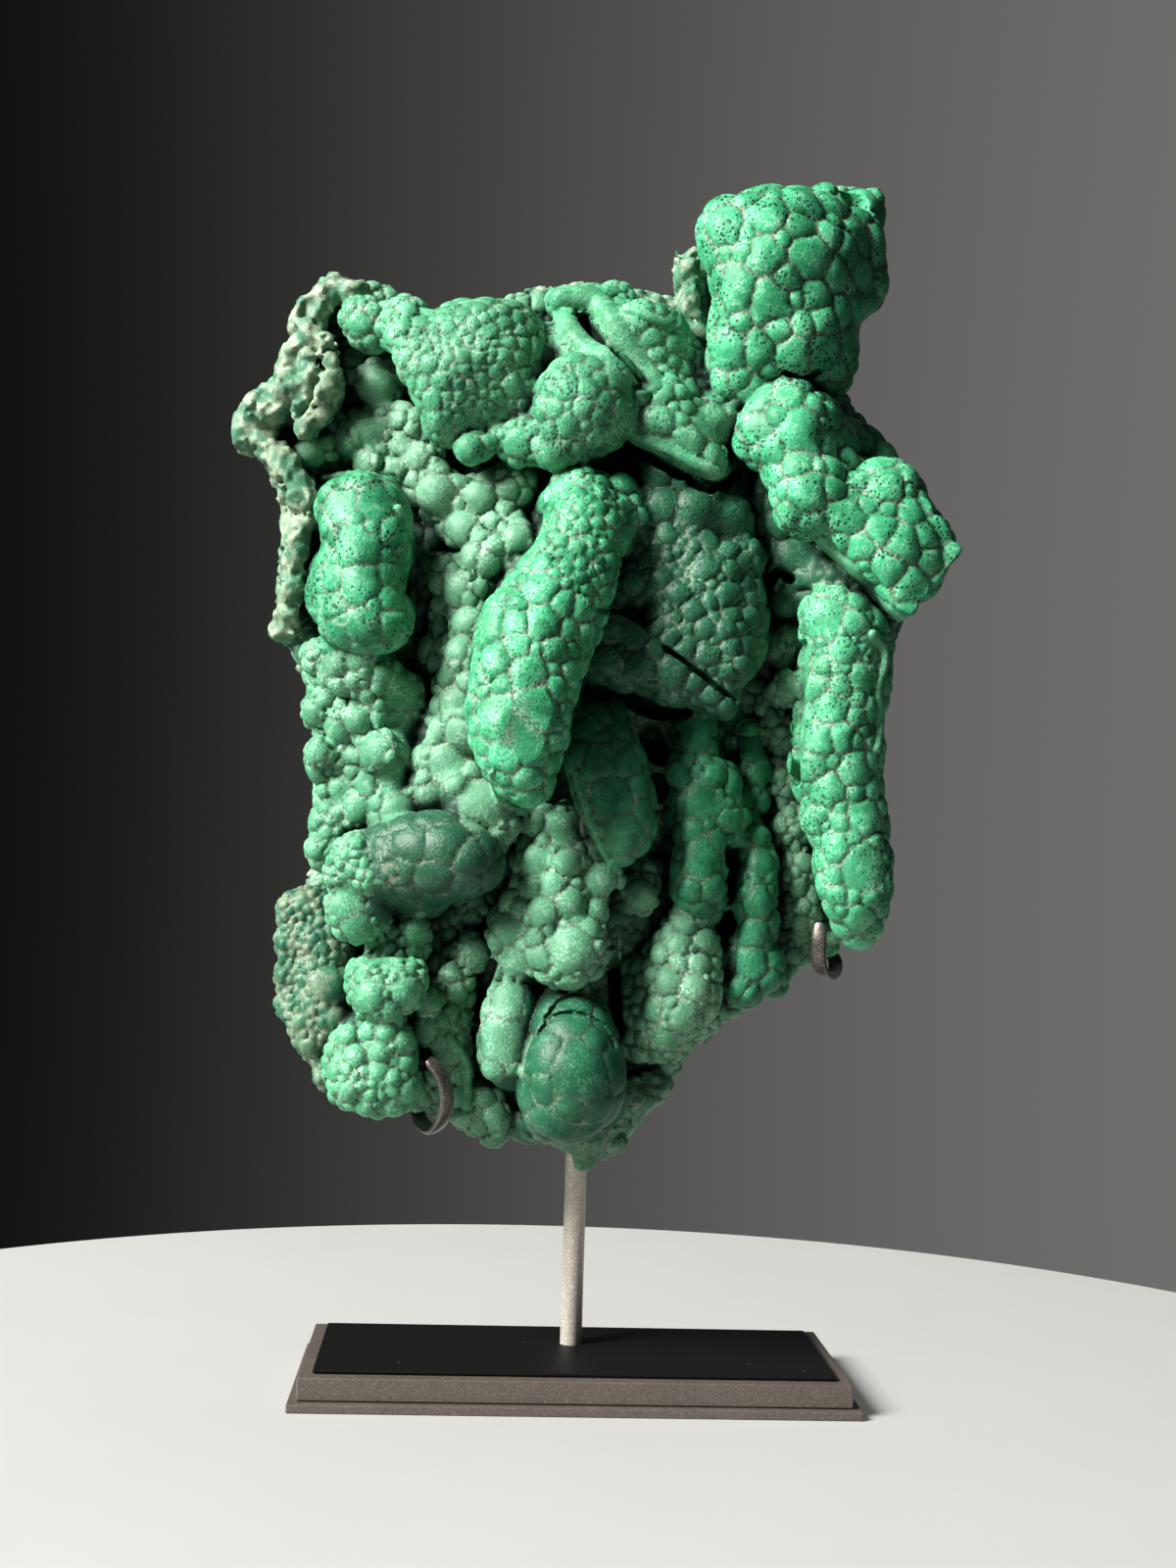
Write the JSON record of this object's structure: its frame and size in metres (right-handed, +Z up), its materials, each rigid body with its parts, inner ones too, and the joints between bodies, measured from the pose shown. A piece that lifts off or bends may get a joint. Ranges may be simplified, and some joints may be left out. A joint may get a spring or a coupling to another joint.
{
  "type": "mineral specimen on display stand",
  "caption": "Botryoidal green malachite crust with hanging fingers and bulbs, held upright by two bent arms on a round post and a stepped rectangular base.",
  "frame": {"origin": "centre of the stand's underside", "axes": "+Z up along the post, the specimen's front faces -Y, +X to the right as seen from the front"},
  "size_m": [0.2356, 0.1029, 0.3987],
  "materials": {
    "malachite": "satin, matt in the hollows",
    "dark_bronze_coat": "fine textured satin",
    "black_satin_coat": "satin",
    "bronzed_steel": "satin, slightly speckled"
  },
  "bodies": {
    "root": {"malachite": "malachite", "foot_plate": "dark_bronze_coat", "plinth": "dark_bronze_coat", "top_plate": "black_satin_coat", "post": "bronzed_steel", "left_arm": "bronzed_steel", "right_arm": "bronzed_steel"}
  },
  "joints": []
}
